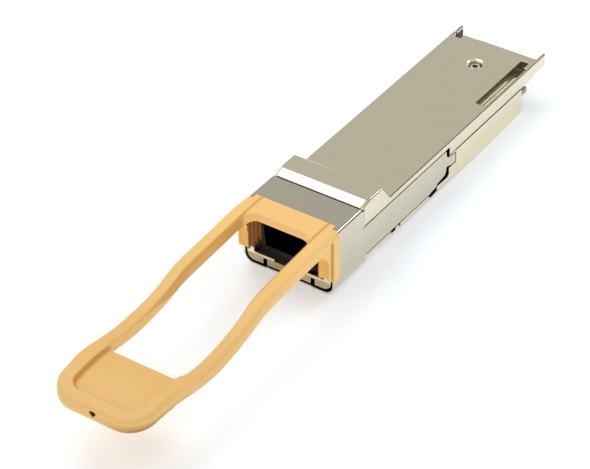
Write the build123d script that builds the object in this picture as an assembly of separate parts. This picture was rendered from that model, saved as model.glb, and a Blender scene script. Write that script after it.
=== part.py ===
"""Pluggable optical transceiver module with a sheet-metal release slider and a moulded pull tab.

Frame: X across, +Y towards the edge card, +Z up.
The origin is on the underside of the module body, at the plane where the body enters its cage.
Millimetres throughout.
"""

import os

from build123d import *

os.makedirs("parts", exist_ok=True)

# ---------------------------------------------------------------- driving dimensions
BODY_W = 18.35  # width of the part that enters the cage
BODY_H = 8.5
HALF_W = BODY_W / 2
Y_EAR = 52.4  # tips of the upper shell's rear ears
Y_TOP_REAR = 49.9  # rear edge of the top plate
Y_LOWER_REAR = 43.96  # rear edge of the lower shell
Z_SEAM = 5.6  # joint line between the shells
SEAM_GAP = 0.15
PLATE_T = 1.2
WALL_IN = 8.2  # inner face of the side walls, from the centre plane
EAR_T = 0.6
Z_EAR = 5.97

Z_SHOULDER = 11.8  # raised shoulder ahead of the cage
Y_SHOULDER = (-1.4, -3.8, -8.2, -9.95)
Z_SHOULDER_FOOT = 11.22
SHOULDER_R = 0.4
SHOULDER_FRONT_R = 0.8

SHEET = 0.3  # sheet metal of the slider
SLEEVE_HALF = 9.3
SLEEVE_TOP = 11.22
SLEEVE_BOTTOM = -1.65
SLEEVE_FRONT = -19.0
SLEEVE_REAR_TOP = -10.3
SLEEVE_REAR_SIDE = -9.5
SLEEVE_REAR_LOW = -8.95
SLEEVE_R_TOP = 0.6
SLEEVE_R_BOTTOM = 2.0
ARM_Z = (0.9, 7.0)
ARM_END = 20.5
STROKE = 2.5  # travel of the slider, towards -Y

NOSE_HALF = 8.9  # shells inside the sleeve
NOSE_TOP = 10.85
NOSE_BOTTOM = -1.25
NOSE_FRONT = -16.4  # upper nose and side walls
LIP_FRONT = -19.0
LIP_HALF = 8.6
LIP_BOTTOM = -0.82
LIP_TOP = 1.03
LIP_STEP = 0.57

PORT_HALF = 6.45  # opening of the fibre receptacle
PORT_Z = (1.1, 9.1)
PORT_OUT_HALF = 7.3
PORT_OUT_Z = (0.6, 9.5)
PORT_REAR = -7.5
FIBRE_Z = 5.1

TAB_T = 2.6  # thickness of the pull tab's arms and rim
TAB_TOP = 11.45
TAB_END = -72.9
COLLAR_HALF = 9.55
LEG_IN = 7.1
LEG_BOTTOM = 2.5
RING_REAR = -16.5
SKIRT_REAR = -17.5
RING_FRONT = -20.6
BAR_FRONT = -21.1
BAR_BOTTOM = 9.8
PAD_REAR = -59.45
WINDOW_HALF = 7.2
WINDOW_R = 1.6
RECESS_DEPTH = 0.85
RECESS_HALF = 6.5
RECESS_FRONT = -70.4
RECESS_R = 2.3
PAD_WEB = 0.9
RIDGE_Z = 6.9  # parting ridge round the end of the pad
RIDGE_OUT = 0.1

BOARD_Z = (2.2, 3.2)
BOARD_HALF = 8.05
CHIP_H = 0.9
PEDESTAL_Z = 4.9  # face of the upper shell's pedestal over the chips
BOARD_Y = (9.5, 48.4)
COVER_SCREW_Y = 42.3
COVER_HEAD_R = 1.02
SCREW_SEAT_Z = 7.6
BASE_SCREW = (6.9, 5.5)


def box(x0, x1, y0, y1, z0, z1):
    """Box from its limits."""
    size = (abs(x1 - x0), abs(y1 - y0), abs(z1 - z0))
    return Pos((x0 + x1) / 2, (y0 + y1) / 2, (z0 + z1) / 2) * Box(*size)


def both(shape):
    """A shape and its mirror image across the centre plane."""
    return [shape, mirror(shape, Plane.YZ)]


def side_extrude(points, x0, x1):
    """Polygon in (y, z) carried from x0 to x1."""
    face = make_face(Polyline(*[(y, z) for y, z in points], close=True))
    return Pos(x0, 0, 0) * extrude(Plane.YZ * face, x1 - x0)


def plan_extrude(points, z0, z1):
    """Polygon in (x, y) carried from z0 to z1."""
    face = make_face(Polyline(*points, close=True))
    return Pos(0, 0, z0) * extrude(face, z1 - z0)


def cylinder_z(x, y, r, z0, z1):
    """Round post."""
    return Pos(x, y, (z0 + z1) / 2) * Cylinder(r, z1 - z0)


def cylinder_y(x, z, r, y0, y1):
    """Round bar along the module."""
    return Pos(x, (y0 + y1) / 2, z) * Rot(90, 0, 0) * Cylinder(r, abs(y1 - y0))


def rounded_bar(half, z0, z1, r_top, r_bottom, y0, y1):
    """Bar along Y whose section has rounded corners."""
    section = Plane.XZ * (Pos(0, (z0 + z1) / 2) * Rectangle(2 * half, z1 - z0))
    bar = Pos(0, y1, 0) * extrude(section, y1 - y0)
    edges = bar.edges().filter_by(Axis.Y).sort_by(Axis.Z)
    bar = fillet(edges[:2], r_bottom)
    edges = bar.edges().filter_by(Axis.Y).sort_by(Axis.Z)
    return fillet(edges[-2:], r_top)


def countersunk_screw(x, y, z_face, direction, length, head_r, shank_r):
    """Countersunk screw; direction is -1 for a head facing up and +1 for one facing down."""
    head_h = head_r - shank_r
    head = Cone(shank_r, head_r, head_h)
    head = Pos(0, 0, -head_h / 2) * head
    shank = Pos(0, 0, -head_h - (length - head_h) / 2) * Cylinder(shank_r, length - head_h)
    screw = head + shank
    for angle in (0, 90):
        screw -= Rot(0, 0, angle) * Pos(0, 0, -0.25) * Box(head_r * 1.15, 0.36, 0.5)
    if direction > 0:
        screw = Rot(180, 0, 0) * screw
    return Pos(x, y, z_face) * screw


def round_corner(start, end, centre):
    """Arc from start to end about the centre."""
    middle = Vector(*start) + Vector(*end)
    middle = middle * 0.5 - Vector(*centre)
    radius = (Vector(*start) - Vector(*centre)).length
    through = Vector(*centre) + middle.normalized() * radius
    return ThreePointArc(start, through, end)


def one_node(solids):
    """Several separate solids kept as one node."""
    return Compound(children=list(solids))


# ---------------------------------------------------------------- arm and window outlines, (y, z)
ARM_OUTLINE = [
    (-10.2, 7.0),
    (17.3, 7.0),
    (17.5, 5.7),
    (18.4, 5.15),
    (20.5, 4.85),
    (20.5, 3.05),
    (19.2, 3.05),
    (17.5, 3.55),
    (17.35, 2.6),
    (17.0, 2.05),
    (14.3, 1.6),
    (14.1, 1.2),
    (11.6, 0.9),
    (-10.2, 0.9),
]
ARM_RECESS = [
    (-13.0, 7.2),
    (18.4, 7.2),
    (18.4, 5.3),
    (20.75, 5.0),
    (20.75, 2.9),
    (18.35, 2.9),
    (18.4, 1.5),
    (17.8, 1.15),
    (14.6, 1.2),
    (14.4, 0.8),
    (-13.0, 0.8),
]

KICKER_WINDOW = [
    (14.6, 7.2),
    (18.4, 7.2),
    (18.4, 5.3),
    (20.75, 5.0),
    (20.75, 2.9),
    (18.35, 2.9),
    (18.4, 1.5),
    (14.6, 1.5),
]
RIB_SPANS = [(11.0, 13.5), (22.0, 30.5)]

# ---------------------------------------------------------------- upper shell
upper = box(-HALF_W, HALF_W, -9.4, Y_TOP_REAR, BODY_H - PLATE_T, BODY_H)
for wall in both(box(WALL_IN, HALF_W, -9.4, Y_TOP_REAR, Z_SEAM, BODY_H)):
    upper += wall
shoulder = side_extrude(
    [
        (Y_SHOULDER[0], 7.3),
        (Y_SHOULDER[0], BODY_H),
        (Y_SHOULDER[1], Z_SHOULDER),
        (Y_SHOULDER[2], Z_SHOULDER),
        (Y_SHOULDER[3], Z_SHOULDER_FOOT),
        (Y_SHOULDER[3], 7.3),
    ],
    -HALF_W,
    HALF_W,
)


def shoulder_sides(y_low, y_high):
    """Edges of the shoulder's sides whose middle lies in a span of Y."""
    return [
        e
        for e in shoulder.edges()
        if abs(e.center().X) > HALF_W - 0.1 and y_low < e.center().Y < y_high and e.center().Z > 7.4
    ]


shoulder = fillet(shoulder_sides(-12, Y_SHOULDER[2]), SHOULDER_FRONT_R)
shoulder = fillet(shoulder_sides(Y_SHOULDER[2] + 0.4, Y_SHOULDER[1]), SHOULDER_R)
shoulder -= box(-20, 20, -12, -9.4, 0, NOSE_TOP)
upper += shoulder
upper += rounded_bar(NOSE_HALF, Z_SEAM - 4, NOSE_TOP, 0.45, 0.1, NOSE_FRONT, -9.0)
upper -= box(-20, 20, -20, 0, 0, Z_SEAM)
for wall in both(box(WALL_IN, HALF_W, -9.4, 0, Z_SEAM, BODY_H)):
    upper += wall
# hollow for the receptacle and the fibres, stepping down to the board's cavity
upper -= box(-PORT_OUT_HALF, PORT_OUT_HALF, -18, PORT_REAR, 0, PORT_OUT_Z[1])
upper -= box(-PORT_HALF, PORT_HALF, PORT_REAR - 0.1, -2.6, 0, 8.9)
upper -= box(-WALL_IN, WALL_IN, -3.2, 60, 0, BODY_H - PLATE_T)
for recess in both(side_extrude(ARM_RECESS, 8.8, 10)):
    upper -= recess
for slit in both(box(8.45, 10, SLEEVE_REAR_SIDE, 15, 6.9, 7.2)):
    upper -= slit
for window in both(side_extrude(KICKER_WINDOW, 8.0, 10)):
    upper -= window
upper -= box(-20, 20, Y_TOP_REAR - 0.01, Y_TOP_REAR + 5, 0, 12)
for ear in both(box(HALF_W - EAR_T, HALF_W, 46, Y_EAR, Z_EAR, BODY_H)):
    upper += ear
for foot in both(box(WALL_IN - 1, 10, 48.4, 60, 0, Z_EAR)):
    upper -= foot
# trough along the right edge, with a ledge, and the notch in the rear left corner
upper += box(6.2, HALF_W, 31.0, 48.4, Z_EAR, 7.5)
upper -= box(6.65, 8.1, 31.4, 48.0, 6.3, 9)
upper -= box(8.0, 8.7, 31.4, 46.0, 7.8, 9)
upper -= box(-8.55, -6.9, 48.4, 50, 6.9, 9)
# shallow step along the rear edge
upper -= box(-20, -3.46, 49.75, 50, 7, 9)
# ribs that hold the board down, pedestal over the chips, bosses for the base screws
for y0, y1 in RIB_SPANS:
    for rib in both(box(7.4, WALL_IN, y0, y1, BOARD_Z[1], 7.4)):
        upper += rib
upper += box(-6.2, 6.2, 21.0, 33.4, PEDESTAL_Z, 7.4)
for boss in both(cylinder_z(BASE_SCREW[0], BASE_SCREW[1], 1.25, 1.2, 7.4)):
    upper += boss
for hole in both(cylinder_z(BASE_SCREW[0], BASE_SCREW[1], 0.72, 1.0, 6.6)):
    upper -= hole
# chamfered pocket for the head of the cover screw
upper -= cylinder_z(0, COVER_SCREW_Y, 0.9, 7.0, 9.0)
upper -= cylinder_z(0, COVER_SCREW_Y, COVER_HEAD_R + 0.08, SCREW_SEAT_Z, 9.0)
upper -= Pos(0, COVER_SCREW_Y, BODY_H - 0.25) * Cone(1.1, 1.6, 0.5)
upper_shell = upper

# ---------------------------------------------------------------- lower shell
lower = box(-HALF_W, HALF_W, -8.8, Y_LOWER_REAR, 0, Z_SEAM)
lower -= box(-WALL_IN, WALL_IN, -3.2, 60, PLATE_T, Z_SEAM + 1)
for recess in both(side_extrude(ARM_RECESS, 8.8, 10)):
    lower -= recess
nose = rounded_bar(NOSE_HALF, NOSE_BOTTOM, 8, 0.3, 1.7, NOSE_FRONT, -3.2)
nose -= box(-20, 20, -20, 0, Z_SEAM, 12)
nose -= side_extrude([(-3.2, -3), (-3.2, NOSE_BOTTOM), (-1.7, 0), (0, 0), (0, -3)], -20, 20)
lower += nose
lower += side_extrude([(-4, 0.5), (-4, NOSE_BOTTOM), (-3.2, NOSE_BOTTOM), (-1.7, 0), (-1.7, 0.5)], -7.2, 7.2)
for recess in both(side_extrude(ARM_RECESS, 8.8, 10)):
    lower -= recess
# lip under the port, standing ahead of the nose, with a stepped top edge and two key slots
lip = rounded_bar(LIP_HALF, LIP_BOTTOM, 4, 0.3, 1.5, LIP_FRONT, NOSE_FRONT + 0.5)
lip -= box(-20, 20, -20, 0, 2.0, 9)
lip -= box(-7.17, 7.17, -20, -16, LIP_TOP, 9)
lip -= box(-3.05, 3.05, -20, -16, LIP_STEP, 9)
lip -= side_extrude(
    [(LIP_FRONT - 0.1, LIP_TOP + 0.1), (LIP_FRONT - 0.1, LIP_TOP - 0.28), (LIP_FRONT + 0.28, LIP_TOP + 0.1)],
    -7.17,
    7.17,
)
lip -= box(-7.15, 7.15, LIP_FRONT + 0.45, -16, 0.25, 9)
lower += lip
for slot in both(box(4.49, 5.31, -20, -15.5, -3, 0.4)):
    lower -= slot
lower -= box(-PORT_OUT_HALF, PORT_OUT_HALF, NOSE_FRONT, PORT_REAR, PORT_OUT_Z[0], 9)
lower -= box(-7.15, 7.15, NOSE_FRONT - 1, NOSE_FRONT + 0.35, 0.25, 9)
lower -= box(-PORT_HALF, PORT_HALF, PORT_REAR - 0.1, -2.6, PLATE_T, 9)
# narrow gap along the joint between the shells
for gap in both(box(8.7, 10, 20.6, 50, Z_SEAM - SEAM_GAP, Z_SEAM + 1)):
    lower -= gap
# grooves for the return springs, open towards the sleeve
for groove in both(box(7.5, 10, -16.0, -8.7, -0.45, 1.05)):
    lower -= groove
# windows in the side walls behind and beside the latch kickers
for window in both(side_extrude(KICKER_WINDOW, 8.0, 10)):
    lower -= window
for window in both(side_extrude([(14.6, 1.3), (18.2, 1.3), (18.2, 2.9), (14.6, 2.9)], 8.0, 10)):
    lower -= window
low_window = [(14.2, 1.26), (14.4, 0.35), (12.1, 0.1), (11.65, 0.38), (11.6, 0.9), (13.8, 1.3)]
for window in both(side_extrude(low_window, 8.0, 10)):
    lower -= window
for window in both(box(8.6, 10, -0.75, 0.65, 0.3, 0.9)):
    lower -= window
for window in both(box(8.6, 10, 1.8, 2.25, 0.3, 0.9)):
    lower -= window
# ledges under the board, cover screw boss, base screw holes, label recess
for y0, y1 in RIB_SPANS:
    for ledge in both(box(7.4, WALL_IN, y0, y1, 1.1, BOARD_Z[0])):
        lower += ledge
lower += cylinder_z(0, COVER_SCREW_Y, 1.6, 1.1, 7.3)
lower -= box(-20, 20, Y_LOWER_REAR, 50, 0, 9)
lower -= cylinder_z(0, COVER_SCREW_Y, 0.82, 3.6, 8)
for hole in both(cylinder_z(BASE_SCREW[0], BASE_SCREW[1], 0.82, -1, 2)):
    lower -= hole
for sink in both(Pos(BASE_SCREW[0], BASE_SCREW[1], 0.4) * Cone(1.5, 0.7, 0.8)):
    lower -= sink
lower -= box(-7.0, 7.0, 13.0, 39.0, -1, 0.15)
lower_shell = lower

# ---------------------------------------------------------------- release slider
sleeve = rounded_bar(
    SLEEVE_HALF, SLEEVE_BOTTOM, SLEEVE_TOP, SLEEVE_R_TOP, SLEEVE_R_BOTTOM, SLEEVE_FRONT, SLEEVE_REAR_LOW
)
sleeve -= rounded_bar(
    SLEEVE_HALF - SHEET,
    SLEEVE_BOTTOM + SHEET,
    SLEEVE_TOP - SHEET,
    SLEEVE_R_TOP - SHEET,
    SLEEVE_R_BOTTOM - SHEET,
    SLEEVE_FRONT - 1,
    SLEEVE_REAR_LOW + 1,
)
sleeve -= box(-20, 20, SLEEVE_REAR_TOP, 0, SLEEVE_TOP - 0.55, 12)
sleeve -= box(-20, 20, SLEEVE_REAR_SIDE, 0, ARM_Z[0], 12)
sleeve -= box(-4.8, 4.8, SLEEVE_FRONT - 1, SLEEVE_FRONT + 0.15, -3, 0)
slider = sleeve
for arm in both(side_extrude(ARM_OUTLINE, HALF_W - SHEET, HALF_W)):
    slider += arm
for relief in both(Pos(9, SLEEVE_REAR_SIDE, ARM_Z[1]) * Rot(0, 90, 0) * Cylinder(0.25, 1.2)):
    slider -= relief
# tabs turned inwards at the rear of the sleeve push on the return springs
for tab in both(box(7.6, SLEEVE_HALF - 0.1, SLEEVE_REAR_LOW - SHEET, SLEEVE_REAR_LOW, -0.35, 0.85)):
    slider += tab
release_slider = slider

# ---------------------------------------------------------------- pull tab
top_line = [
    (RING_REAR, TAB_TOP),
    (-22.0, 11.4),
    (-27.0, 11.15),
    (-33.0, 10.8),
    (-37.5, 10.5),
    (-39.5, 10.2),
    (-42.0, 9.4),
    (-45.0, 8.6),
    (-48.0, 8.1),
    (-51.0, 7.8),
    (-54.0, 7.75),
    (-57.0, 8.0),
    (-60.0, 8.5),
    (-63.5, 9.0),
    (-66.5, 8.9),
    (-70.0, 8.5),
    (TAB_END, 8.15),
]
low_line = [(y, z - TAB_T) for y, z in top_line]
profile = make_face(
    [
        Spline(*top_line),
        Line(top_line[-1], low_line[-1]),
        Spline(*low_line[::-1]),
        Line(low_line[0], top_line[0]),
    ]
)
band = Pos(-12, 0, 0) * extrude(Plane.YZ * profile, 24)

outer = [
    (9.45, RING_REAR),
    (9.45, -20.6),
    (9.4, -24.0),
    (9.35, -30.0),
    (9.35, -38.0),
    (9.35, -44.0),
    (9.5, -49.0),
    (9.65, -54.0),
    (9.65, -60.0),
    (9.45, -65.0),
    (9.25, -68.0),
]
CORNER_R = 4.9


def tab_plan(extra):
    """Outline of the tab seen from above, grown by extra."""
    side = [(x + extra, y) for x, y in outer]
    half, end, radius = side[-1][0], TAB_END - extra, CORNER_R + extra
    edge = [
        Line(side[0], side[1]),
        Spline(*side[1:], tangents=[(0, -1), (0, -1)]),
        round_corner(side[-1], (half - radius, end), (half - radius, end + radius)),
    ]
    ends = [Line((half - radius, end), (radius - half, end)), Line((-side[0][0], RING_REAR), side[0])]
    return make_face(edge + [mirror(e, Plane.YZ) for e in edge] + ends)


body = band & extrude(tab_plan(0), 14)


def broad_faces(shape):
    """Upper and lower face of the tab."""
    return shape.faces().sort_by(SortBy.AREA)[-2:]


rim = [e for e in broad_faces(body).sort_by(Axis.Z)[-1].edges() if e.center().Y < RING_FRONT]
body = fillet(rim, 0.7)
low_rim = [e for e in broad_faces(body).sort_by(Axis.Z)[0].edges() if e.center().Y < RING_FRONT]
body = fillet(low_rim, 0.45)

window_r = [
    (6.6, -23.4),
    (6.6, -30.0),
    (6.65, -38.0),
    (6.85, -43.0),
    (7.0, -48.0),
    (7.1, -52.0),
    (WINDOW_HALF, -56.0),
    (WINDOW_HALF, PAD_REAR + WINDOW_R),
]
w_edges = [
    Spline(*window_r),
    Line((4.3, BAR_FRONT), (-4.3, BAR_FRONT)),
    Line((WINDOW_HALF - WINDOW_R, PAD_REAR), (WINDOW_R - WINDOW_HALF, PAD_REAR)),
]
w_edges += [
    round_corner((4.3, BAR_FRONT), (6.6, -23.4), (4.3, -23.4)),
    round_corner(
        (WINDOW_HALF, PAD_REAR + WINDOW_R),
        (WINDOW_HALF - WINDOW_R, PAD_REAR),
        (WINDOW_HALF - WINDOW_R, PAD_REAR + WINDOW_R),
    ),
]
w_edges += [mirror(w_edges[0], Plane.YZ), mirror(w_edges[3], Plane.YZ), mirror(w_edges[4], Plane.YZ)]
window = make_face(w_edges)
body -= extrude(window, 14)
inner_rim = [e for face in broad_faces(body) for wire in face.inner_wires() for e in wire.edges()]
body = fillet(inner_rim, 0.45)

# hollows in both faces of the pad; their floors follow the profile
def above_profile(drop):
    """Everything above the tab's top line lowered by drop."""
    line = [(y, z - drop) for y, z in top_line]
    roof = Polyline(line[-1], (line[-1][0], 20), (line[0][0], 20), line[0])
    return Pos(-12, 0, 0) * extrude(Plane.YZ * make_face([Spline(*line)] + roof.edges()), 24)


recess_side = [
    (RECESS_HALF, RECESS_FRONT + RECESS_R),
    (RECESS_HALF, -65.0),
    (RECESS_HALF + 0.1, -62.0),
    (RECESS_HALF + 0.4, -59.6),
    (RECESS_HALF + 0.6, -57.6),
]
recess_edge = [
    Line(recess_side[0], recess_side[1]),
    Spline(*recess_side[1:], tangents=[(0, 1), (0, 1)]),
    round_corner(
        recess_side[0],
        (RECESS_HALF - RECESS_R, RECESS_FRONT),
        (RECESS_HALF - RECESS_R, RECESS_FRONT + RECESS_R),
    ),
]
recess_ends = [
    Line((RECESS_HALF - RECESS_R, RECESS_FRONT), (RECESS_R - RECESS_HALF, RECESS_FRONT)),
    Line(recess_side[-1], (-recess_side[-1][0], recess_side[-1][1])),
]
recess = extrude(make_face(recess_edge + [mirror(e, Plane.YZ) for e in recess_edge] + recess_ends), 20)
body -= recess & above_profile(RECESS_DEPTH)
body -= recess - above_profile(RECESS_DEPTH + PAD_WEB)

# ridge along the parting line of the pad's end, and the small gate hole in it
ridge = extrude(tab_plan(RIDGE_OUT), 14) & box(-20, 20, TAB_END - 1, -64.0, RIDGE_Z - 0.3, RIDGE_Z)
body += ridge - extrude(tab_plan(-1.2), 14)
gate_hole = [(-0.5, RIDGE_Z + 0.55), (0.95, RIDGE_Z + 0.55), (0.25, RIDGE_Z - 0.5)]
gate_face = make_face(Polyline(*gate_hole, close=True))
body -= Pos(0, TAB_END + 0.9, 0) * extrude(Plane.XZ * gate_face, 2)

# collar: bar across the top, two legs, and the skirt lapped over the sleeve
ring = rounded_bar(9.4, LEG_BOTTOM, TAB_TOP, 0.9, 0.3, RING_FRONT, RING_REAR)
ring += box(-8.6, 8.6, BAR_FRONT, RING_FRONT, BAR_BOTTOM, TAB_TOP)
body -= box(-20, 20, RING_FRONT, 0, 0, 20)
body -= box(-6.5, 6.5, BAR_FRONT, 0, 0, BAR_BOTTOM)
# underside of the window's front corners, rising to the underside of the bar
body -= side_extrude(
    [(BAR_FRONT - 2.4, 8.6), (BAR_FRONT - 2.4, 8.0), (BAR_FRONT, 8.0), (BAR_FRONT, BAR_BOTTOM)], -6.5, 6.5
)
gusset = [(-20.5, 9.0), (-20.5, 7.3), (-20.75, 7.6), (-21.3, 8.4), (-22.4, 8.9), (-22.4, 9.2)]
for corner in both(side_extrude(gusset, LEG_IN, 9.2)):
    ring += corner
for skirt in both(box(8.8, COLLAR_HALF, SLEEVE_FRONT - 0.3, SKIRT_REAR, 1.45, 10.7)):
    ring += skirt
ring -= box(-LEG_IN, LEG_IN, -30, 0, -3, BAR_BOTTOM)
for notch in both(box(9.31, 10, -18.1, -17, 8.2, 9.0)):
    ring -= notch
for groove in both(box(9.2, 10, -20.0, -19.3, 1.0, 10.2)):
    ring -= groove
# soft scoop up the front of each leg, and three flutes on its inner face
scoop = cylinder_z(8.3, -21.6, 1.5, 0, 5.9) + Pos(8.3, -21.6, 5.9) * Sphere(1.5)
for hollow in both(scoop):
    ring -= hollow
for y_flute in (-17.4, -18.5, -19.6):
    for flute in both(cylinder_z(LEG_IN - 0.1, y_flute, 0.35, 0, BAR_BOTTOM - 0.3)):
        ring -= flute
tab = ring + body
for corner_cut in both(box(8.15, 12, SKIRT_REAR, RING_REAR + 1, 0, 12)):
    tab -= corner_cut
for corner_cut in both(box(8.15, 12, SKIRT_REAR - 0.1, RING_REAR + 1, 10.95, 12)):
    tab -= corner_cut
tab -= release_slider
pull_tab = tab

# ---------------------------------------------------------------- fibre receptacle and its contents
port = box(
    -PORT_OUT_HALF + 0.02,
    PORT_OUT_HALF - 0.02,
    NOSE_FRONT,
    PORT_REAR,
    PORT_OUT_Z[0],
    PORT_OUT_Z[1] - 0.02,
)
port -= box(-PORT_HALF, PORT_HALF, NOSE_FRONT - 1, PORT_REAR - 1.2, PORT_Z[0], PORT_Z[1])
port += box(-7.1, 7.1, LIP_FRONT + 0.47, NOSE_FRONT, 0.27, 0.5)
port += box(-7.1, 7.1, NOSE_FRONT - 0.3, NOSE_FRONT + 0.3, 0.27, 1.0)
port -= box(-3.3, 3.3, -20, 0, FIBRE_Z - 1.35, FIBRE_Z + 1.35)
port -= box(-1.6, 1.6, -20, -10, PORT_Z[1] - 0.1, 9.3)
for hook in both(box(4.7, 5.5, -13.6, PORT_REAR - 1.0, FIBRE_Z - 1.4, FIBRE_Z + 1.4)):
    port += hook
for barb in both(plan_extrude([(5.4, -12.3), (5.4, -13.6), (5.9, -13.1), (5.9, -12.3)], 3.7, 6.5)):
    port += barb
optical_port = port

ferrule = box(-3.2, 3.2, -11.0, -3.6, FIBRE_Z - 1.25, FIBRE_Z + 1.25)
ferrule += box(-3.9, 3.9, PORT_REAR + 0.02, -5.9, FIBRE_Z - 1.6, FIBRE_Z + 1.6)
for hole in both(cylinder_y(2.3, FIBRE_Z, 0.36, -12, -3)):
    ferrule -= hole
ferrule -= box(-1.7, 1.7, -5.0, -3.0, FIBRE_Z - 0.25, FIBRE_Z + 0.25)
mt_ferrule = ferrule

guide_pins = one_node(both(cylinder_y(2.3, FIBRE_Z, 0.35, -12.6, -3.4)))

clamp = box(-5.6, 5.6, -5.88, -3.4, 2.2, 8.0)
clamp -= box(-3.22, 3.22, -7, -2, FIBRE_Z - 1.27, FIBRE_Z + 1.27)
ferrule_clamp = clamp

gasket = box(-6.4, 6.4, PORT_REAR + 0.02, -6.7, PLATE_T + 0.05, 8.85)
gasket -= box(-4.4, 4.4, -8, -6, 2.6, 7.6)
emi_gasket = gasket

# ---------------------------------------------------------------- fibre ribbon and optical engine
ribbon_path = Spline(
    (0, -5.0, FIBRE_Z),
    (0, 3.0, FIBRE_Z + 0.2),
    (0, 9.0, 4.9),
    (0, 13.2, 4.7),
    tangents=[(0, 1, 0), (0, 1, 0)],
)
ribbon_section = Plane(origin=(0, -5.0, FIBRE_Z), x_dir=(1, 0, 0), z_dir=(0, 1, 0)) * Rectangle(3.1, 0.28)
fibre_ribbon = sweep(ribbon_section, ribbon_path)

lens = box(-3.6, 3.6, 13.2, 18.4, BOARD_Z[1], 5.6)
lens -= box(-2.2, 2.2, 15.0, 17.2, BOARD_Z[1] - 1, 4.3)
lens -= side_extrude([(15.0, 5.7), (16.4, 5.7), (15.0, 4.9)], -2.2, 2.2)
lens_block = lens
laser_array = box(-1.9, -0.3, 15.9, 16.3, BOARD_Z[1], BOARD_Z[1] + 0.2)
photodiode_array = box(0.3, 1.9, 15.9, 16.3, BOARD_Z[1], BOARD_Z[1] + 0.2)

# ---------------------------------------------------------------- circuit board and parts on it
board = box(-BOARD_HALF, BOARD_HALF, BOARD_Y[0], BOARD_Y[1], BOARD_Z[0], BOARD_Z[1])
rear_corners = board.edges().filter_by(Axis.Z).filter_by_position(Axis.Y, BOARD_Y[1] - 0.1, BOARD_Y[1] + 0.1)
board = chamfer(rear_corners, 0.6)
for z, turn in ((BOARD_Z[0], 1), (BOARD_Z[1], -1)):
    bevel = [(BOARD_Y[1] - 0.4, z), (BOARD_Y[1] + 0.1, z), (BOARD_Y[1] + 0.1, z + 0.375 * turn)]
    board -= side_extrude(bevel, -9, 9)
board -= cylinder_z(0, COVER_SCREW_Y, 1.9, 0, 9)
circuit_board = board

FINGER_PITCH = 0.8
FINGER_W = 0.54
FINGER_L = 2.2
FINGER_T = 0.05
finger_x = [FINGER_PITCH * (i - 9) for i in range(19)]


def fingers(z0, z1):
    """Row of edge contacts on one face of the board."""
    return one_node(
        box(x - FINGER_W / 2, x + FINGER_W / 2, 47.9 - FINGER_L, 47.9, z0, z1) for x in finger_x
    )


contact_fingers_top = fingers(BOARD_Z[1], BOARD_Z[1] + FINGER_T)
contact_fingers_bottom = fingers(BOARD_Z[0] - FINGER_T, BOARD_Z[0])


def chip(x, y, w, d, h):
    """Package standing on the board, with a small pin-one dimple."""
    body_box = box(x - w / 2, x + w / 2, y - d / 2, y + d / 2, BOARD_Z[1], BOARD_Z[1] + h)
    return body_box - cylinder_z(x - w / 2 + 0.6, y - d / 2 + 0.6, 0.2, BOARD_Z[1] + h - 0.1, 9)


laser_driver = chip(-2.9, 23.2, 4.2, 4.0, CHIP_H)
receiver_amplifier = chip(2.9, 23.2, 4.2, 4.0, CHIP_H)
retimer_chips = one_node(chip(x, 30.0, 5.2, 5.2, CHIP_H) for x in (-3.1, 3.1))
microcontroller = chip(-4.6, 37.6, 4.0, 4.0, 0.8)
thermal_pads = one_node(
    box(x0, x1, y0, y1, BOARD_Z[1] + CHIP_H, PEDESTAL_Z)
    for x0, x1, y0, y1 in [
        (-4.9, -0.9, 21.3, 25.1),
        (0.9, 4.9, 21.3, 25.1),
        (-5.6, -0.6, 27.5, 32.5),
        (0.6, 5.6, 27.5, 32.5),
    ]
)
power_inductors = one_node(
    box(x - 1.1, x + 1.1, y - 1.0, y + 1.0, BOARD_Z[1], BOARD_Z[1] + 1.2)
    for x, y in [(2.2, 36.6), (5.4, 36.6)]
)
timing_crystal = box(-0.9, 0.9, 35.6, 37.0, BOARD_Z[1], BOARD_Z[1] + 0.5)
capacitor_spots = [(-6.6, 20.4), (6.6, 20.4), (-6.6, 23.2), (6.6, 23.2), (-6.9, 30.0), (6.9, 30.0)]
capacitor_spots += [(2.0, 39.0), (3.6, 39.0), (5.2, 39.0), (-2.0, 35.0), (-5.0, 12.0), (5.0, 12.0)]
capacitors = one_node(
    box(x - 0.4, x + 0.4, y - 0.25, y + 0.25, BOARD_Z[1], BOARD_Z[1] + 0.5) for x, y in capacitor_spots
)
resistor_spots = [(x, 44.2) for x in (-6.4, -4.8, -3.2, 3.2, 4.8, 6.4)]
resistor_spots += [(-5.6, 19.0), (5.6, 19.0), (-0.3, 39.2), (-1.5, 39.2)]
resistors = one_node(
    box(x - 0.25, x + 0.25, y - 0.45, y + 0.45, BOARD_Z[1], BOARD_Z[1] + 0.3) for x, y in resistor_spots
)

# ---------------------------------------------------------------- fasteners, springs, label
cover_screw = cylinder_z(0, COVER_SCREW_Y, COVER_HEAD_R, SCREW_SEAT_Z, SCREW_SEAT_Z + 0.42)
cover_screw = chamfer(cover_screw.edges().sort_by(Axis.Z)[-1], 0.1)
cover_screw += cylinder_z(0, COVER_SCREW_Y, 0.78, 4.0, SCREW_SEAT_Z)
hex_socket = Pos(0, COVER_SCREW_Y, SCREW_SEAT_Z + 0.12) * extrude(RegularPolygon(0.56, 6), 1)
cover_screw -= hex_socket
base_screws = one_node(both(countersunk_screw(BASE_SCREW[0], BASE_SCREW[1], 0.08, 1, 5.6, 1.4, 0.68)))

SPRING_R = 0.5
SPRING_WIRE = 0.11
spring_y = (-16.0, SLEEVE_REAR_LOW - SHEET)


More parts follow.
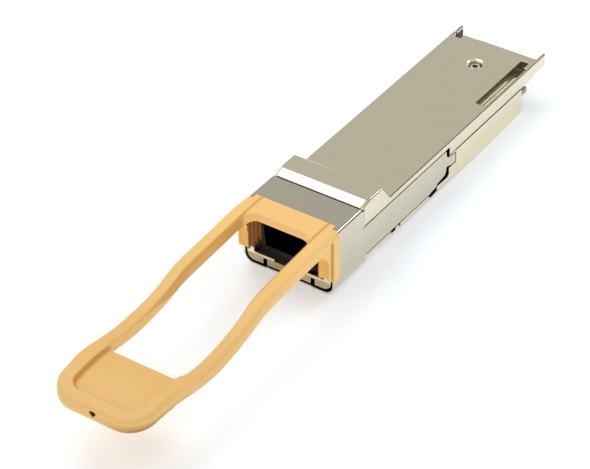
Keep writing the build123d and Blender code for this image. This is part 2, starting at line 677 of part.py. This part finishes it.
def return_spring(side):
    """Compression spring between the groove's front wall and the sleeve's tab."""
    length = spring_y[1] - spring_y[0] - 2 * SPRING_WIRE
    turns = 9
    path = Helix(pitch=length / turns, height=length, radius=SPRING_R)
    section = Plane(path @ 0, z_dir=path % 0) * Circle(SPRING_WIRE)
    coil = sweep(section, path, is_frenet=True)
    coil = Rot(-90, 0, 0) * coil
    return Pos(side * 8.2, spring_y[0] + SPRING_WIRE, 0.25) * coil


return_spring_left = return_spring(-1)
return_spring_right = return_spring(1)

id_label = box(-6.9, 6.9, 13.1, 38.9, 0.05, 0.15)

# ---------------------------------------------------------------- export
NODES = {
    "upper_shell": upper_shell,
    "lower_shell": lower_shell,
    "release_slider": release_slider,
    "pull_tab": pull_tab,
    "optical_port": optical_port,
    "mt_ferrule": mt_ferrule,
    "guide_pins": guide_pins,
    "ferrule_clamp": ferrule_clamp,
    "emi_gasket": emi_gasket,
    "fibre_ribbon": fibre_ribbon,
    "lens_block": lens_block,
    "laser_array": laser_array,
    "photodiode_array": photodiode_array,
    "circuit_board": circuit_board,
    "contact_fingers_top": contact_fingers_top,
    "contact_fingers_bottom": contact_fingers_bottom,
    "laser_driver": laser_driver,
    "receiver_amplifier": receiver_amplifier,
    "retimer_chips": retimer_chips,
    "microcontroller": microcontroller,
    "thermal_pads": thermal_pads,
    "power_inductors": power_inductors,
    "timing_crystal": timing_crystal,
    "capacitors": capacitors,
    "resistors": resistors,
    "cover_screw": cover_screw,
    "base_screws": base_screws,
    "return_spring_left": return_spring_left,
    "return_spring_right": return_spring_right,
    "id_label": id_label,
}
for name, shape in NODES.items():
    export_step(shape, f"parts/{name}.step")
    print(name, len(shape.solids()), round(sum(s.volume for s in shape.solids()), 3))
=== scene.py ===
"""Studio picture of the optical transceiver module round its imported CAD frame. Metres, +Z up."""

import math

import bmesh
import bpy
from mathutils import Matrix, Vector
from mathutils.bvhtree import BVHTree


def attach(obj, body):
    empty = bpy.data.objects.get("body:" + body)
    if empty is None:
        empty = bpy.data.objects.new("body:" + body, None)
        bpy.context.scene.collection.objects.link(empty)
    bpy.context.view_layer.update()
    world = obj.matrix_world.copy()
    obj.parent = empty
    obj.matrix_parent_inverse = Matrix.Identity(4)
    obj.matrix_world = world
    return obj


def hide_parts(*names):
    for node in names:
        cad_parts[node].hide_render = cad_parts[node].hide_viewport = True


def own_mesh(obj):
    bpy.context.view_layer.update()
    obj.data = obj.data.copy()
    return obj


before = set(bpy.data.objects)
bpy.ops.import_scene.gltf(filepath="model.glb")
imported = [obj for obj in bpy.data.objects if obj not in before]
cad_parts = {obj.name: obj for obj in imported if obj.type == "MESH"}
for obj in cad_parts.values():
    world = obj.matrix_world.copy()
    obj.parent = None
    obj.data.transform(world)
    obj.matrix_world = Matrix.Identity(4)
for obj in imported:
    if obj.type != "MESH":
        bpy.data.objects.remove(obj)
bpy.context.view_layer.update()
MM = 0.001


# ---------------------------------------------------------------- node helpers
def new_material(name):
    """Empty material with a Principled shader; returns it, its tree and the shader."""
    mat = bpy.data.materials.new(name)
    mat.use_nodes = True
    tree = mat.node_tree
    return mat, tree, tree.nodes["Principled BSDF"]


def coords(tree, scale=(1, 1, 1)):
    """Object coordinates in metres, stretched by scale."""
    tex = tree.nodes.new("ShaderNodeTexCoord")
    mapping = tree.nodes.new("ShaderNodeMapping")
    mapping.inputs["Scale"].default_value = scale
    tree.links.new(tex.outputs["Object"], mapping.inputs["Vector"])
    return mapping.outputs["Vector"]


def axes(tree):
    """X, Y and Z of the object coordinates, in metres."""
    split = tree.nodes.new("ShaderNodeSeparateXYZ")
    tree.links.new(coords(tree), split.inputs["Vector"])
    return split.outputs["X"], split.outputs["Y"], split.outputs["Z"]


def noise(tree, scale, detail=3.0, stretch=(1, 1, 1), rough=0.5):
    """Noise with scale in cells per metre."""
    node = tree.nodes.new("ShaderNodeTexNoise")
    node.inputs["Scale"].default_value = scale
    node.inputs["Detail"].default_value = detail
    node.inputs["Roughness"].default_value = rough
    tree.links.new(coords(tree, stretch), node.inputs["Vector"])
    return node.outputs["Fac"]


def ramp(tree, fac, stops, interpolation="LINEAR"):
    """Colour ramp; stops are (position, (r, g, b))."""
    node = tree.nodes.new("ShaderNodeValToRGB")
    node.color_ramp.interpolation = interpolation
    items = node.color_ramp.elements
    while len(items) < len(stops):
        items.new(0.5)
    for item, (place, colour) in zip(items, stops):
        item.position = place
        item.color = (*colour, 1)
    tree.links.new(fac, node.inputs["Fac"])
    return node.outputs["Color"]


def spread(tree, fac, low, high, start=0.3, end=0.7, interpolation="LINEAR"):
    """Number between low and high as fac goes from start to end."""
    node = tree.nodes.new("ShaderNodeMapRange")
    node.interpolation_type = interpolation
    for name, value in zip(("From Min", "From Max", "To Min", "To Max"), (start, end, low, high)):
        node.inputs[name].default_value = value
    tree.links.new(fac, node.inputs["Value"])
    return node.outputs["Result"]


def fade(tree, place, start, end):
    """0 to 1 as a coordinate goes from start to end, in millimetres."""
    return spread(tree, place, 0, 1, start * MM, end * MM)


def bump(tree, shader, height, depth):
    """Bump of the given depth in metres."""
    node = tree.nodes.new("ShaderNodeBump")
    node.inputs["Strength"].default_value = 1.0
    node.inputs["Distance"].default_value = depth
    tree.links.new(height, node.inputs["Height"])
    tree.links.new(node.outputs["Normal"], shader.inputs["Normal"])


def calc(tree, operation, *values):
    """Result of a math node; each value is a socket or a number."""
    node = tree.nodes.new("ShaderNodeMath")
    node.operation = operation
    for socket, value in zip(node.inputs, values):
        if isinstance(value, (int, float)):
            socket.default_value = value
        else:
            tree.links.new(value, socket)
    return node.outputs["Value"]


def inside(tree, low, high):
    """1 inside a box given by its lowest and highest corner in millimetres, 0 outside."""
    total = 1.0
    for place, start, end in zip(axes(tree), low, high):
        near = calc(tree, "COMPARE", place, (start + end) / 2 * MM, (end - start) / 2 * MM)
        total = calc(tree, "MULTIPLY", total, near)
    return total


def mix_colour(tree, fac, first, second):
    """First colour where fac is 0, second where it is 1; either may be a socket or a colour."""
    node = tree.nodes.new("ShaderNodeMix")
    node.data_type = "RGBA"
    tree.links.new(fac, node.inputs[0])
    for socket, value in zip(node.inputs[6:8], (first, second)):
        if isinstance(value, tuple):
            socket.default_value = (*value, 1)
        else:
            tree.links.new(value, socket)
    return node.outputs[2]


# ---------------------------------------------------------------- painted shade and tone changes
def both_sides(left, right, width, low, high, colour):
    """A pair of boxes of one colour; low and high are their Y and Z."""
    return [((x, *low), (x + width, *high), colour) for x in (left, right)]


SHADE_BLACK = (0.012, 0.012, 0.011)
SLEEVE_SHADE = (0.02, 0.02, 0.018)
NOTCH_SHADE = (0.02, 0.02, 0.016)

# by material: lowest corner, highest corner in millimetres, colour; mostly painted shade in
# hollows, gaps and windows, and painted reflection on the lip's front
SHADE_AND_TONE_BOXES = {
    "nickel_plate": [
        ((6.6, 31.0, 6.2), (8.75, 48.1, 8.4), (0.6, 0.55, 0.43)),  # trough: painted shade on its floor and walls
        ((-9.05, 48.3, 3.0), (-6.85, 52.5, 8.0), NOTCH_SHADE),  # notch by the left ear
        ((-1.15, 41.1, 7.4), (1.15, 43.5, 8.24), (0.34, 0.29, 0.22)),  # painted shade in the cover screw's pocket
        ((8.1, 20.4, 5.5), (9.13, 49.9, 5.68), SHADE_BLACK),  # painted shade in the joint line behind the arm
        ((7.9, -9.4, 5.0), (9.13, 21.2, 7.3), SHADE_BLACK),  # painted shade in the slit over the arm and the window at its end
        ((-9.3, -10.6, 9.0), (9.3, -9.93, 11.27), SHADE_BLACK),  # painted shade in the gap below the shoulder
    ],
    "nickel_plate_lower": [
        ((-8.95, -18.9, -1.3), (8.95, -16.2, -0.75), SHADE_BLACK),  # painted shade on the nose inside the sleeve
        ((8.5, 20.4, 5.3), (9.13, 43.9, 5.62), SHADE_BLACK),  # painted shade in the joint line behind the arm
        ((7.9, -0.8, 0.25), (9.13, 0.7, 0.88), SHADE_BLACK),  # painted shade in the long low window
        ((7.9, 1.78, 0.25), (9.13, 2.28, 0.88), SHADE_BLACK),  # painted shade in the short low window
        ((7.9, 13.5, 0.12), (9.13, 21.2, 7.3), SHADE_BLACK),  # painted shade in the window at the arm's end
        ((-8.7, -19.1, -0.79), (1.5, -18.95, 0.74), (0.5, 0.42, 0.27)),  # lip's front, left: painted shade with a brown painted reflection of the tab
        ((1.5, -19.1, -0.79), (8.7, -18.95, 0.74), (0.66, 0.52, 0.33)),  # lip's front, right: painted shade with a tan painted reflection of the tab
    ],
    "sheet_steel": [
        # inside of the sleeve: the lower box is narrower, clear of the rounded lower corners
        ((-9.02, -18.5, -0.65), (9.02, -8.0, 10.95), SLEEVE_SHADE),
        ((-8.2, -18.5, -1.4), (8.2, -8.0, -0.64), SLEEVE_SHADE),
        ((-9.0, -20.0, 11.0), (9.0, -8.0, 11.4), (0.635, 0.585, 0.475)),  # top of the sleeve
    ],
    "screw_steel": [
        ((-0.6, 41.6, 7.5), (0.6, 43.0, 7.97), (0.24, 0.2, 0.16)),  # painted shade in the socket of the cover screw
    ],
    "tan_plastic": [
        # painted shade on the inner faces of the collar's legs
        *both_sides(-7.45, 6.75, 0.7, (-21.2, 2.3), (-16.3, 9.75), (0.5, 0.19, 0.045)),
        # painted shade, a deeper orange, in the scoops of the legs' fronts
        *both_sides(-9.2, 7.3, 1.9, (-20.52, 2.4), (-20.0, 7.4), (0.97, 0.56, 0.115)),
        # painted shade in the grooves of the collar's sides
        *both_sides(-9.47, 9.15, 0.32, (-20.05, 1.0), (-19.25, 10.3), (0.75, 0.42, 0.12)),
        ((-0.7, -72.85, 6.2), (1.1, -71.5, 7.7), (0.3, 0.075, 0.012)),  # painted shade in the gate hole
    ],
}


def paint_shade_and_tone(tree, name, colour, least=0.75):
    """Paints shade into a colour inside the boxes of a material, and one plain change of tone,
    with a fine mottle down to least.
    """
    for low, high, dark in SHADE_AND_TONE_BOXES.get(name, ()):
        dullest = tuple(least * c for c in dark)
        fine = noise(tree, 5200, detail=3, stretch=(1, 0.5, 1), rough=0.7)
        mottle = ramp(tree, fine, [(0.35, dullest), (0.68, dark)])
        colour = mix_colour(tree, inside(tree, low, high), colour, mottle)
    return colour


def recess_crease_shade(tree):
    """1 along the foot of the wall round the finger recess, where painted shade darkens the
    crease, 0 elsewhere.
    """
    half_width, flare, corner, front, recess_floor = 6.5, 0.5, 2.3, -70.4, 7.4
    line_radius, line_strength = 2.1, 0.9
    x, y, z = axes(tree)
    # the recess widens by the flare towards its rear
    widening = spread(tree, y, 0, flare * MM, -64.5 * MM, -58 * MM)
    straight_x = calc(tree, "ADD", widening, (half_width - corner) * MM)
    past_side = calc(tree, "SUBTRACT", calc(tree, "ABSOLUTE", x), straight_x)
    across = calc(tree, "MAXIMUM", past_side, 0.0)
    along = calc(tree, "MAXIMUM", calc(tree, "SUBTRACT", (corner + front) * MM, y), 0.0)
    squares = [calc(tree, "MULTIPLY", side, side) for side in (across, along)]
    reach = calc(tree, "SQRT", calc(tree, "ADD", *squares))
    away = calc(tree, "ABSOLUTE", calc(tree, "SUBTRACT", reach, line_radius * MM))
    line = spread(tree, away, line_strength, 0, 0.1 * MM, 0.4 * MM)
    return calc(tree, "MULTIPLY", line, calc(tree, "GREATER_THAN", z, recess_floor * MM))


def tab_painted_shading(tree, base):
    """Pull tab: painted light that pales it towards the collar, painted shade that deepens it at
    the pad's lower right edge and at the recess.
    """
    x, y, z = axes(tree)
    # painted light: paler towards the collar
    base = mix_colour(tree, fade(tree, y, -50, -24), base, (1.0, 0.615, 0.205))
    # painted shade at the pad's lower right edge
    edge = calc(tree, "MULTIPLY", fade(tree, x, 1, 8), fade(tree, z, 7.5, 6.3))
    edge = calc(tree, "MULTIPLY", edge, fade(tree, y, -59, -68))
    base = mix_colour(tree, edge, base, (0.42, 0.19, 0.035))
    # painted shade at the foot of the recess wall
    return mix_colour(tree, recess_crease_shade(tree), base, (0.69, 0.36, 0.065))


# ---------------------------------------------------------------- kinds of material
def finish_surface(tree, shader, base, grain, roughness, depth):
    """Base colour, and a grain that drives the roughness and the bump."""
    tree.links.new(base, shader.inputs["Base Color"])
    tree.links.new(spread(tree, grain, *roughness), shader.inputs["Roughness"])
    bump(tree, shader, grain, depth)


def metal(name, colour, darker, roughness, grain, depth, stretch=(1, 1, 1), least=0.75):
    """Plated or brushed metal: fine grain, slow tone changes and painted shade in its hollows,
    gaps and windows.
    """
    mat, tree, shader = new_material(name)
    shader.inputs["Metallic"].default_value = 1.0
    tone = noise(tree, 260, detail=4, rough=0.6)
    base = paint_shade_and_tone(tree, name, ramp(tree, tone, [(0.3, darker), (0.7, colour)]), least)
    fine = noise(tree, grain, detail=3, stretch=stretch)
    finish_surface(tree, shader, base, fine, roughness, depth)
    return mat


def plastic(name, colour, darker, roughness, grain=7000, depth=4e-6, painted_shading=None):
    """Moulded plastic with fine spark-eroded texture, and painted light and shade by place where a
    function for it is given.
    """
    mat, tree, shader = new_material(name)
    tone = noise(tree, 180, detail=4, rough=0.6)
    base = ramp(tree, tone, [(0.3, darker), (0.7, colour)])
    if painted_shading:
        base = painted_shading(tree, base)
    base = paint_shade_and_tone(tree, name, base)
    finish_surface(tree, shader, base, noise(tree, grain, detail=2), roughness, depth)
    return mat


def compound(name, colour, speck, roughness, scale=4000):
    """Filled epoxy, rubber or ceramic: fine specks of a second colour and a dull grain."""
    mat, tree, shader = new_material(name)
    specks = noise(tree, scale, detail=4, rough=0.8)
    base = ramp(tree, specks, [(0.45, colour), (0.72, speck)])
    finish_surface(tree, shader, base, specks, roughness, 6e-6)
    return mat


def solder_mask(name):
    """Green mask over copper tracks that run along the board."""
    mat, tree, shader = new_material(name)
    tracks = tree.nodes.new("ShaderNodeTexBrick")
    for socket, value in {
        "Scale": 1.0,
        "Brick Width": 5.5 * MM,
        "Row Height": 0.4 * MM,
        "Mortar Size": 0.11 * MM,
        "Color1": (0.46, 0.47, 0.27, 1),
        "Color2": (0.48, 0.49, 0.29, 1),
        "Mortar": (0.36, 0.39, 0.22, 1),
    }.items():
        tracks.inputs[socket].default_value = value
    turned = tree.nodes.new("ShaderNodeMapping")
    turned.inputs["Rotation"].default_value = (0, 0, math.pi / 2)
    tree.links.new(coords(tree), turned.inputs["Vector"])
    tree.links.new(turned.outputs["Vector"], tracks.inputs["Vector"])
    tree.links.new(tracks.outputs["Color"], shader.inputs["Base Color"])
    tree.links.new(spread(tree, noise(tree, 3000), 0.25, 0.4), shader.inputs["Roughness"])
    bump(tree, shader, tracks.outputs["Fac"], 8e-6)
    return mat


FIBRES = [
    (0.02, 0.1, 0.5),
    (0.8, 0.22, 0.02),
    (0.03, 0.35, 0.07),
    (0.18, 0.07, 0.03),
    (0.2, 0.22, 0.24),
    (0.75, 0.75, 0.72),
    (0.6, 0.03, 0.03),
    (0.02, 0.02, 0.02),
    (0.8, 0.6, 0.03),
    (0.25, 0.06, 0.4),
    (0.75, 0.3, 0.35),
    (0.05, 0.5, 0.5),
]
RIBBON_HALF = 1.55 * MM  # half its width
WAVE_BANDS = 3.1831  # bands per metre of the wave texture at scale 1


def fibre_coat(name):
    """Twelve coloured fibres side by side under a clear coat."""
    mat, tree, shader = new_material(name)
    count = len(FIBRES)
    across = spread(tree, axes(tree)[0], 0, 1, -RIBBON_HALF, RIBBON_HALF)
    stops = [(i / count, colour) for i, colour in enumerate(FIBRES)]
    tree.links.new(ramp(tree, across, stops, "CONSTANT"), shader.inputs["Base Color"])
    ridges = tree.nodes.new("ShaderNodeTexWave")
    ridges.inputs["Scale"].default_value = count / (2 * RIBBON_HALF) / WAVE_BANDS
    tree.links.new(coords(tree), ridges.inputs["Vector"])
    shader.inputs["Roughness"].default_value = 0.25
    bump(tree, shader, ridges.outputs["Fac"], 20e-6)
    return mat


# ---------------------------------------------------------------- materials
# colour, darker colour, roughness, grain in cells per metre, its depth, and where they differ
# from the usual its stretch and the least brightness of the mottle in the painted shade
METALS = {
    "nickel_plate": ((0.8, 0.735, 0.555), (0.77, 0.71, 0.535), (0.13, 0.17), 9000, 0.4e-6),
    "nickel_plate_lower": ((0.86, 0.79, 0.575), (0.83, 0.76, 0.55), (0.14, 0.18), 9000, 0.4e-6),
    "sheet_steel": (
        (0.68, 0.63, 0.51), (0.65, 0.605, 0.485), (0.18, 0.24), 12000, 0.5e-6, (1, 0.03, 1), 0.93,
    ),
    "screw_steel": ((0.78, 0.74, 0.64), (0.73, 0.69, 0.6), (0.16, 0.22), 9000, 0.5e-6),
    "pin_steel": ((0.82, 0.82, 0.8), (0.78, 0.78, 0.76), (0.08, 0.14), 9000, 0.3e-6),
    "clamp_steel": ((0.6, 0.6, 0.58), (0.54, 0.54, 0.52), (0.25, 0.4), 12000, 1e-6, (1, 0.05, 1)),
    "spring_steel": ((0.62, 0.62, 0.6), (0.55, 0.55, 0.53), (0.2, 0.3), 9000, 1e-6, (0.2, 1, 1)),
    "contact_gold": ((0.95, 0.66, 0.24), (0.9, 0.6, 0.2), (0.16, 0.26), 9000, 0.5e-6, (1, 0.1, 1)),
    "crystal_can": ((0.75, 0.74, 0.7), (0.7, 0.69, 0.66), (0.2, 0.3), 9000, 0.5e-6),
    "die_gold": ((0.8, 0.62, 0.35), (0.55, 0.42, 0.25), (0.15, 0.3), 9000, 1e-6),
}
# colour, darker colour, roughness, grain in cells per metre, its depth, painted light and shade
PLASTICS = {
    "tan_plastic": (
        (0.885, 0.54, 0.175), (0.865, 0.525, 0.168), (0.42, 0.52), 7000, 4e-6, tab_painted_shading,
    ),
    "black_plastic": ((0.055, 0.055, 0.06), (0.045, 0.045, 0.05), (0.25, 0.35)),
    "lens_amber": ((0.7, 0.27, 0.03), (0.62, 0.22, 0.02), (0.12, 0.2), 5000, 1e-6),
    "label_film": ((0.8, 0.8, 0.78), (0.74, 0.74, 0.72), (0.35, 0.45), 3000, 3e-6),
}
# colour, colour of the specks, roughness, specks in cells per metre
COMPOUNDS = {
    "die_grey": ((0.12, 0.12, 0.14), (0.25, 0.24, 0.28), (0.12, 0.25), 6000),
    "ferrule_plastic": ((0.035, 0.035, 0.04), (0.09, 0.09, 0.09), (0.35, 0.5)),
    "gasket_rubber": ((0.04, 0.04, 0.04), (0.12, 0.12, 0.11), (0.7, 0.9)),
    "chip_black": ((0.02, 0.02, 0.022), (0.06, 0.06, 0.06), (0.45, 0.65)),
    "resistor_black": ((0.02, 0.02, 0.022), (0.05, 0.05, 0.05), (0.3, 0.45)),
    "ferrite_grey": ((0.1, 0.1, 0.105), (0.2, 0.2, 0.2), (0.5, 0.7)),
    "thermal_pad_grey": ((0.32, 0.34, 0.37), (0.46, 0.48, 0.5), (0.7, 0.85)),
    "capacitor_tan": ((0.4, 0.26, 0.14), (0.5, 0.34, 0.2), (0.35, 0.5)),
}

MATERIALS = {}
for kind, table in ((metal, METALS), (plastic, PLASTICS), (compound, COMPOUNDS)):
    for name, values in table.items():
        MATERIALS[name] = kind(name, *values)
MATERIALS["board_green"] = solder_mask("board_green")
MATERIALS["ribbon_coat"] = fibre_coat("ribbon_coat")


# ---------------------------------------------------------------- pieces made from CAD surfaces
BROAD = 15 * MM * MM  # area over which a face of a machined piece stays flat
MIDDLING = 0.1  # share of it over which a face stays flat where its neighbours turn away
TURNED = 0.97  # cosine below which they do
STRAY = 0.45  # share of the bevel's width that a vertex may lie off the surface


def surface_of(node, suffix):
    """New object that holds a welded copy of a CAD node's surface."""
    piece = bpy.data.objects.new(node + suffix, bpy.data.meshes.new(node + suffix))
    bpy.context.scene.collection.objects.link(piece)
    bm = bmesh.new()
    bm.from_mesh(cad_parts[node].data)
    bmesh.ops.remove_doubles(bm, verts=bm.verts, dist=2e-6)
    for face in bm.faces:
        face.smooth = True
    bm.to_mesh(piece.data)
    bm.free()
    return piece


def stand_for(piece, node, body, slot):
    """Puts a finished piece in place of a CAD node."""
    piece.data.materials.clear()
    piece.data.materials.append(MATERIALS[slot])
    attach(piece, body)
    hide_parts(node)
    return piece


def corner_normals(mesh, crisp):
    """Normals of the face corners.

    Broad faces stay flat; so do the bevel's own faces, of material 1, where crisp is true.
    The others turn with the largest face round each vertex.
    """
    around = {}
    for face in mesh.polygons:
        for v in face.vertices:
            around.setdefault(v, []).append((face.area, face.normal))
    blended = {}
    for v, faces in around.items():
        top = max(area for area, _ in faces)
        total = Vector((0, 0, 0))
        for area, normal in faces:
            total += normal * (area / top) ** 2
        blended[v] = total.normalized()
    normals = []
    for face in mesh.polygons:
        edge_strip = crisp and face.material_index == 1
        for v in face.vertices:
            turned = blended[v].dot(face.normal) < TURNED
            flat = edge_strip or face.area > BROAD or (face.area > MIDDLING * BROAD and turned)
            normals.append(face.normal[:] if flat else blended[v][:])
    return normals


def machined(node, body, slot, width, crisp=False):
    """Facets merged flat, edges broken by a narrow bevel, and normals that keep flats flat."""
    piece = surface_of(node, "_body")
    bm = bmesh.new()
    bm.from_mesh(piece.data)
    bmesh.ops.dissolve_limit(
        bm,
        angle_limit=math.radians(0.5),
        verts=bm.verts,
        edges=bm.edges,
        use_dissolve_boundaries=False,
    )
    bm.to_mesh(piece.data)
    surface = BVHTree.FromBMesh(bm)
    bm.free()
    # two slots, so that the bevel's faces can be told from the others
    for _ in range(2):
        piece.data.materials.append(None)
    bevel = piece.modifiers.new("edges", "BEVEL")
    bevel.width = width
    bevel.segments = 1 if crisp else 2
    bevel.limit_method = "ANGLE"
    bevel.angle_limit = math.radians(30)
    bevel.use_clamp_overlap = False
    bevel.material = 1
    bpy.context.view_layer.update()
    shaped = piece.evaluated_get(bpy.context.evaluated_depsgraph_get())
    piece.data = bpy.data.meshes.new_from_object(shaped)
    piece.modifiers.clear()
    mesh = piece.data
    # a vertex that the bevel threw clear of the surface goes back to it
    for vertex in mesh.vertices:
        place, _, _, gap = surface.find_nearest(vertex.co)
        if gap > STRAY * width:
            vertex.co = place
    normals = corner_normals(mesh, crisp)
    for face in mesh.polygons:
        face.material_index = 0
    mesh.normals_split_custom_set(normals)
    return stand_for(piece, node, body, slot)


def moulded(node, body, slot, cell, passes):
    """Surface rebuilt in even cells and softened, for a moulded part with no sharp edge."""
    piece = surface_of(node, "_moulding")
    grid = piece.modifiers.new("cells", "REMESH")
    grid.mode = "VOXEL"
    grid.voxel_size = cell
    grid.adaptivity = 0
    grid.use_smooth_shade = True
    soft = piece.modifiers.new("soft", "SMOOTH")
    soft.factor = 0.5
    soft.iterations = passes
    return stand_for(piece, node, body, slot)


machined("upper_shell", "module", "nickel_plate", 0.12 * MM, crisp=True)
machined("lower_shell", "module", "nickel_plate_lower", 0.08 * MM, crisp=True)
machined("release_slider", "release", "sheet_steel", 0.05 * MM)
moulded("pull_tab", "release", "tan_plastic", 0.14 * MM, 7)
machined("optical_port", "module", "black_plastic", 0.06 * MM)
machined("cover_screw", "module", "screw_steel", 0.04 * MM)
machined("circuit_board", "module", "board_green", 0.03 * MM)

for side in ("left", "right"):
    # the sleeve's tab shortens the spring against the front wall of its groove
    spring = "return_spring_" + side
    coil = stand_for(surface_of(spring, "_coil"), spring, "module", "spring_steel")
    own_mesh(coil)

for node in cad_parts.values():
    for holder in node.material_slots:
        slot_name = holder.material.name.split(".")[0]
        holder.material = MATERIALS.get(slot_name, holder.material)


# ---------------------------------------------------------------- floor
# the module rests on the sleeve's lower rear edge and, at z 0, the lower shell's rear edge
FOOT_Y, FOOT_Z, REAR_Y = -8.95, -1.65, 43.96  # millimetres
FLOOR_GAP = 0.01  # millimetres
FLOOR_HALF = 3  # metres

corners = [(x * FLOOR_HALF, y * FLOOR_HALF, 0) for x, y in ((-1, -1), (1, -1), (1, 1), (-1, 1))]
floor_mesh = bpy.data.meshes.new("floor")
floor_mesh.from_pydata(corners, [], [(0, 1, 2, 3)])
floor = bpy.data.objects.new("floor", floor_mesh)
bpy.context.scene.collection.objects.link(floor)
tilt = math.atan2(-FOOT_Z, REAR_Y - FOOT_Y)
floor.rotation_euler = (tilt, 0, 0)
floor.location = (0, 0, (FOOT_Z - FLOOR_GAP) * MM - math.tan(tilt) * FOOT_Y * MM)
floor_mat, _, floor_shader = new_material("floor_white")
for socket, value in {
    "Base Color": (0.815, 0.875, 0.95, 1),
    "Roughness": 0.7,
    "Specular IOR Level": 0.2,
    "Emission Color": (1, 0.97, 0.94, 1),
    "Emission Strength": 0.29,
}.items():
    floor_shader.inputs[socket].default_value = value
floor_mesh.materials.append(floor_mat)


# ---------------------------------------------------------------- studio dome
DOME = 0.79  # brightness of the whole dome
DARKEST = 0.03  # least brightness where dark patches meet
# direction, full and faded reach in degrees, amount; and the faces that mirror it to the camera
SKY_PATCHES = [
    ((-0.45, 0.65, 0.61), (14, 42), -0.2),  # level faces
    ((0.45, -0.65, 0.61), (8, 22), -0.4),  # faces turned to the camera
    ((0.78, 0.62, 0.02), (10, 18), -0.72),  # steep edges on the right
    ((0.61, 0.65, 0.45), (8, 13), -0.72),  # bevels between top and right side
    ((0.85, 0.2, 0.48), (18, 34), -0.25),  # the same, turned a little to the front
    ((-0.09, 0.65, 0.75), (6, 13), -0.75),  # top faces that lean a little to the right
    ((0.92, -0.38, 0.08), (12, 30), 0.5),  # edges turned to the right and the front
]

world = bpy.data.worlds.new("studio")
bpy.context.scene.world = world
world.use_nodes = True
sky = world.node_tree
sky_direction = sky.nodes.new("ShaderNodeTexCoord").outputs["Generated"]


def sky_patch(total, direction, reach, amount):
    """Adds a soft round patch of brightness to the dome."""
    facing = sky.nodes.new("ShaderNodeVectorMath")
    facing.operation = "DOT_PRODUCT"
    facing.inputs[1].default_value = Vector(direction).normalized()
    sky.links.new(sky_direction, facing.inputs[0])
    full, faded = (math.cos(math.radians(angle)) for angle in reach)
    patch = spread(sky, facing.outputs["Value"], 0, amount, faded, full, "SMOOTHSTEP")
    return calc(sky, "ADD", total, patch)


level = DOME
for direction, reach, amount in SKY_PATCHES:
    level = sky_patch(level, direction, reach, amount)
background = sky.nodes["Background"]
sky.links.new(calc(sky, "MAXIMUM", level, DARKEST), background.inputs["Strength"])
background.inputs["Color"].default_value = (1.0, 0.995, 0.985, 1)


# ---------------------------------------------------------------- lights and camera
def softbox(name, place, side, radiance):
    """Square light of an even brightness, aimed at the object."""
    data = bpy.data.lights.new(name, "AREA")
    data.shape = "RECTANGLE"
    data.size = data.size_y = side
    data.energy = radiance * math.pi * side * side
    lamp = bpy.data.objects.new(name, data)
    bpy.context.scene.collection.objects.link(lamp)
    lamp.location = place
    lamp.rotation_euler = (-Vector(place)).to_track_quat("-Z", "Y").to_euler()


softbox("overhead", (-0.34, 0.12, 0.68), 0.4, 2.55)
softbox("right_rear", (0.22, 0.55, 0.50), 0.3, 2.6)

# place and axes that match the photograph's view
CAMERA_PLACE = (0.18831, -0.28881, 0.25852)
CAMERA_RIGHT = (0.8261, 0.5635, -0.0093)
CAMERA_BACK = (0.4528, -0.6538, 0.6062)

camera_data = bpy.data.cameras.new("camera")
camera_data.sensor_width = 36
camera_data.lens = 149.5
camera_data.clip_start = 0.01
camera_data.clip_end = 20
camera = bpy.data.objects.new("camera", camera_data)
bpy.context.scene.collection.objects.link(camera)
right = Vector(CAMERA_RIGHT).normalized()
back = Vector(CAMERA_BACK).normalized()
up = back.cross(right).normalized()
turn = Matrix((right, up, back)).transposed().to_4x4()
camera.matrix_world = Matrix.Translation(CAMERA_PLACE) @ turn
bpy.context.scene.camera = camera

scene = bpy.context.scene
scene.view_settings.view_transform = "Standard"
scene.view_settings.look = "None"
